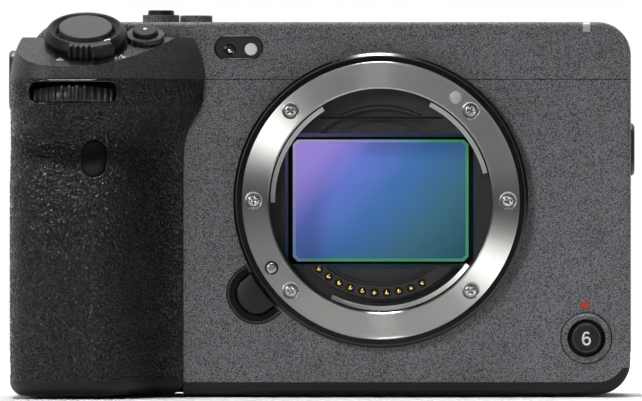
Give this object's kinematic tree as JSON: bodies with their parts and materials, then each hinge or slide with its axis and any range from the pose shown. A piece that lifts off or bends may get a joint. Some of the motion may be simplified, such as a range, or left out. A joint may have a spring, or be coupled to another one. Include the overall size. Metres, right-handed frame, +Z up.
{
  "type": "cinema camera",
  "caption": "Compact full-frame cinema camera body with a side grip, sloping control deck, bayonet lens mount, stabilised sensor and swing-out monitor.",
  "frame": {"origin": "centre of the tripod thread's mouth on the underside, in the plane of the split between front and rear cover, below the lens axis", "axes": "-Y the way the lens looks, +X to the right of the front view, away from the grip, +Z up"},
  "size_m": [0.1298, 0.0767, 0.08],
  "materials": {
    "cover_grey": "speckled matte paint",
    "base_black": "satin",
    "grip_leather": "grained",
    "deck_grey": "fine matte paint",
    "gloss_black": "gloss",
    "mount_steel": "turned",
    "tab_steel": "satin",
    "screw_steel": "polished",
    "inner_black": "matte",
    "contact_gold": "polished",
    "sensor_glass": "coated",
    "carrier_alloy": "satin",
    "blade_black": "blackened",
    "board_green": "lacquered",
    "heat_alloy": "cast",
    "battery_grey": "satin",
    "button_grey": "satin",
    "button_black": "satin",
    "knurl_black": "ribbed",
    "window_smoke": "gloss",
    "window_infrared": "gloss",
    "lamp_white": "clear",
    "insert_steel": "machined",
    "lug_alloy": "satin",
    "foot_rubber": "matte",
    "monitor_black": "fine matte",
    "screen_glass": "gloss"
  },
  "bodies": {
    "camera": {"front_cover": "cover_grey", "top_cover": "cover_grey", "rear_cover": "cover_grey", "base_plate": "base_black", "grip_core": "inner_black", "grip_skin": "grip_leather", "grip_deck": "deck_grey", "mount_surround": "gloss_black", "mount_ring": "mount_steel", "mount_screws": "screw_steel", "bayonet_tabs": "tab_steel", "contact_block": "inner_black", "light_chamber": "inner_black", "shutter_frame": "inner_black", "stabilizer_base": "carrier_alloy", "main_board": "board_green", "heat_sink": "heat_alloy", "fan_frame": "inner_black", "battery": "battery_grey", "card_slots": "inner_black", "port_block": "inner_black", "front_window": "window_smoke", "remote_window": "window_infrared", "tally_lamp": "lamp_white", "thread_inserts": "insert_steel", "side_lugs": "lug_alloy", "accessory_shoe": "insert_steel", "feet": "foot_rubber", "rec_collar": "button_grey"},
    "lens_release": {"lens_release_button": "button_black"},
    "lock_pin": {"lock_pin": "screw_steel"},
    "contact_pins": {"contact_pins": "contact_gold"},
    "zoom_lever": {"zoom_lever": "knurl_black"},
    "release_button": {"release_button": "button_black"},
    "top_button": {"top_button": "button_grey"},
    "front_dial": {"front_dial": "knurl_black"},
    "rear_dial": {"rear_dial": "knurl_black"},
    "control_wheel": {"control_wheel": "knurl_black"},
    "center_button": {"center_button": "button_black"},
    "joystick_yoke": {"joystick_yoke": "inner_black"},
    "joystick": {"joystick": "button_black"},
    "menu_button": {"menu_button": "button_black"},
    "playback_button": {"playback_button": "button_black"},
    "record_button_front": {"record_button_front": "button_black"},
    "record_button_top": {"record_button_top": "button_black"},
    "power_switch": {"power_switch": "button_grey"},
    "monitor": {"monitor_arm": "monitor_black", "monitor_housing": "monitor_black", "monitor_glass": "screen_glass"},
    "battery_door": {"battery_door": "base_black"},
    "battery_latch": {"battery_latch": "button_grey"},
    "card_door": {"card_door": "cover_grey"},
    "port_cover": {"port_cover": "cover_grey"},
    "fan_rotor": {"fan_rotor": "inner_black"},
    "shutter_blade_upper": {"shutter_blade_upper": "blade_black"},
    "shutter_blade_middle": {"shutter_blade_middle": "blade_black"},
    "shutter_blade_lower": {"shutter_blade_lower": "blade_black"},
    "sensor_shift": {"stabilizer_slide": "carrier_alloy"},
    "sensor": {"sensor_carrier": "carrier_alloy", "image_sensor": "sensor_glass"}
  },
  "joints": [
    {"name": "lens_release_press", "type": "slide", "parent": "camera", "child": "lens_release", "axis": [0, 1, 0], "range_m": [0, 0.0015], "stiffness_N_per_m": 400, "springref_m": -0.002},
    {"name": "lock_pin_slide", "type": "slide", "parent": "camera", "child": "lock_pin", "axis": [0, 1, 0], "range_m": [0, 0.0015]},
    {"name": "contact_pins_press", "type": "slide", "parent": "camera", "child": "contact_pins", "axis": [0, 1, 0], "range_m": [0, 0.0005], "stiffness_N_per_m": 400, "springref_m": -0.0005},
    {"name": "zoom_lever_turn", "type": "hinge", "parent": "camera", "child": "zoom_lever", "pos_m": [-0.0605, -0.03417, 0.07225], "axis": [0, -0.4446, 0.8957], "range_deg": [-25, 25], "stiffness_Nm_per_rad": 0.004},
    {"name": "release_button_press", "type": "slide", "parent": "camera", "child": "release_button", "axis": [0, 0.4446, -0.8957], "range_m": [0, 0.0005], "stiffness_N_per_m": 400, "springref_m": -0.002},
    {"name": "top_button_press", "type": "slide", "parent": "camera", "child": "top_button", "axis": [0, 0.4446, -0.8957], "range_m": [0, 0.0005], "stiffness_N_per_m": 400, "springref_m": -0.002},
    {"name": "front_dial_turn", "type": "hinge", "parent": "camera", "child": "front_dial", "pos_m": [-0.0628, -0.0343, 0.05925], "axis": [0, 0.2588, 0.9659], "continuous": true},
    {"name": "rear_dial_turn", "type": "hinge", "parent": "camera", "child": "rear_dial", "pos_m": [-0.06, 0.0117, 0.069], "axis": [0, 0, 1], "continuous": true},
    {"name": "control_wheel_turn", "type": "hinge", "parent": "camera", "child": "control_wheel", "pos_m": [-0.056, 0.02, 0.028], "axis": [0, -1, 0], "continuous": true},
    {"name": "center_button_press", "type": "slide", "parent": "camera", "child": "center_button", "axis": [0, -1, 0], "range_m": [0, 0.0005], "stiffness_N_per_m": 400, "springref_m": -0.002},
    {"name": "joystick_sideways", "type": "hinge", "parent": "camera", "child": "joystick_yoke", "pos_m": [-0.045, 0.0178, 0.05], "axis": [0, 0, 1], "range_deg": [-8, 8], "stiffness_Nm_per_rad": 0.02},
    {"name": "joystick_up_down", "type": "hinge", "parent": "joystick_yoke", "child": "joystick", "pos_m": [-0.045, 0.0178, 0.05], "axis": [1, 0, 0], "range_deg": [-8, 8], "stiffness_Nm_per_rad": 0.02},
    {"name": "menu_button_press", "type": "slide", "parent": "camera", "child": "menu_button", "axis": [0, -1, 0], "range_m": [0, 0.0005], "stiffness_N_per_m": 400, "springref_m": -0.002},
    {"name": "playback_button_press", "type": "slide", "parent": "camera", "child": "playback_button", "axis": [0, -1, 0], "range_m": [0, 0.0005], "stiffness_N_per_m": 400, "springref_m": -0.002},
    {"name": "record_button_front_press", "type": "slide", "parent": "camera", "child": "record_button_front", "axis": [0, 1, 0], "range_m": [0, 0.0006], "stiffness_N_per_m": 400, "springref_m": -0.002},
    {"name": "record_button_top_press", "type": "slide", "parent": "camera", "child": "record_button_top", "axis": [0, 0, -1], "range_m": [0, 0.0005], "stiffness_N_per_m": 400, "springref_m": -0.002},
    {"name": "power_switch_turn", "type": "hinge", "parent": "camera", "child": "power_switch", "pos_m": [-0.0383, -0.01, 0.0768], "axis": [0, 0, 1], "range_deg": [0, 40]},
    {"name": "monitor_swing", "type": "hinge", "parent": "camera", "child": "monitor", "pos_m": [0.0456, 0.025, 0.0355], "axis": [0, 0, -1], "range_deg": [0, 176]},
    {"name": "battery_door_swing", "type": "hinge", "parent": "camera", "child": "battery_door", "pos_m": [-0.0616, 0.0112, 0.00075], "axis": [1, 0, 0], "range_deg": [0, 95]},
    {"name": "battery_latch_slide", "type": "slide", "parent": "battery_door", "child": "battery_latch", "axis": [1, 0, 0], "range_m": [0, 0.0018]},
    {"name": "card_door_swing", "type": "hinge", "parent": "camera", "child": "card_door", "pos_m": [-0.07485, 0.0175, 0.036], "axis": [0, 0, -1], "range_deg": [0, 95]},
    {"name": "port_cover_swing", "type": "hinge", "parent": "camera", "child": "port_cover", "pos_m": [0.05085, 0.0175, 0.028], "axis": [0, 0, 1], "range_deg": [0, 95]},
    {"name": "fan_spin", "type": "hinge", "parent": "camera", "child": "fan_rotor", "pos_m": [-0.001, 0.012, 0.035], "axis": [0, 1, 0], "continuous": true},
    {"name": "shutter_blade_upper_rise", "type": "slide", "parent": "camera", "child": "shutter_blade_upper", "axis": [0, 0, 1], "range_m": [0, 0.027]},
    {"name": "shutter_blade_middle_rise", "type": "slide", "parent": "camera", "child": "shutter_blade_middle", "axis": [0, 0, 1], "range_m": [0, 0.018]},
    {"name": "shutter_blade_lower_rise", "type": "slide", "parent": "camera", "child": "shutter_blade_lower", "axis": [0, 0, 1], "range_m": [0, 0.009]},
    {"name": "sensor_shift_sideways", "type": "slide", "parent": "camera", "child": "sensor_shift", "axis": [1, 0, 0], "range_m": [-0.0015, 0.0015], "stiffness_N_per_m": 2000},
    {"name": "sensor_shift_up_down", "type": "slide", "parent": "sensor_shift", "child": "sensor", "axis": [0, 0, 1], "range_m": [-0.0015, 0.0015], "stiffness_N_per_m": 2000}
  ],
  "couplings": [
    {"joint": "lock_pin_slide", "follows": "lens_release_press", "ratio": 1},
    {"joint": "shutter_blade_middle_rise", "follows": "shutter_blade_upper_rise", "ratio": 0.66667},
    {"joint": "shutter_blade_lower_rise", "follows": "shutter_blade_upper_rise", "ratio": 0.33333}
  ]
}
